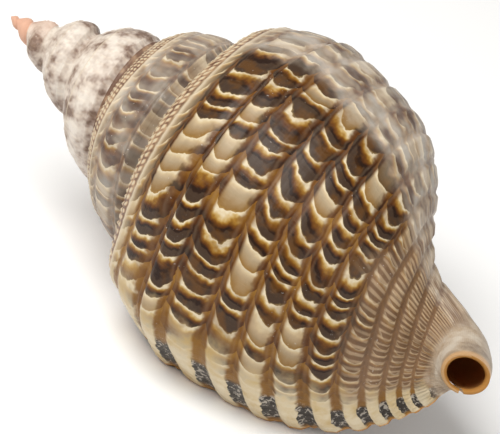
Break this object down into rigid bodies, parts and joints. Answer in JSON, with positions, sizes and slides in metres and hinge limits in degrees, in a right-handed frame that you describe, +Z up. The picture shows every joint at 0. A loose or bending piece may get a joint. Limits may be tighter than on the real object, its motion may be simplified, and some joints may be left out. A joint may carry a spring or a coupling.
{
  "type": "trumpet shell",
  "caption": "Adult trumpet shell (Charonia tritonis), empty, hollow and right-handed, lying on its aperture.",
  "frame": {"origin": "On the surface that the shell rests on, under the middle of its bounding box.", "axes": "+X along the coiling axis from the apex to the siphonal canal, +Z up, outer lip on the -Y side."},
  "size_m": [0.2742, 0.1476, 0.13],
  "materials": {
    "shell": "satin aragonite, brown and cream crescents"
  },
  "bodies": {
    "root": {"shell": "shell"}
  },
  "joints": []
}
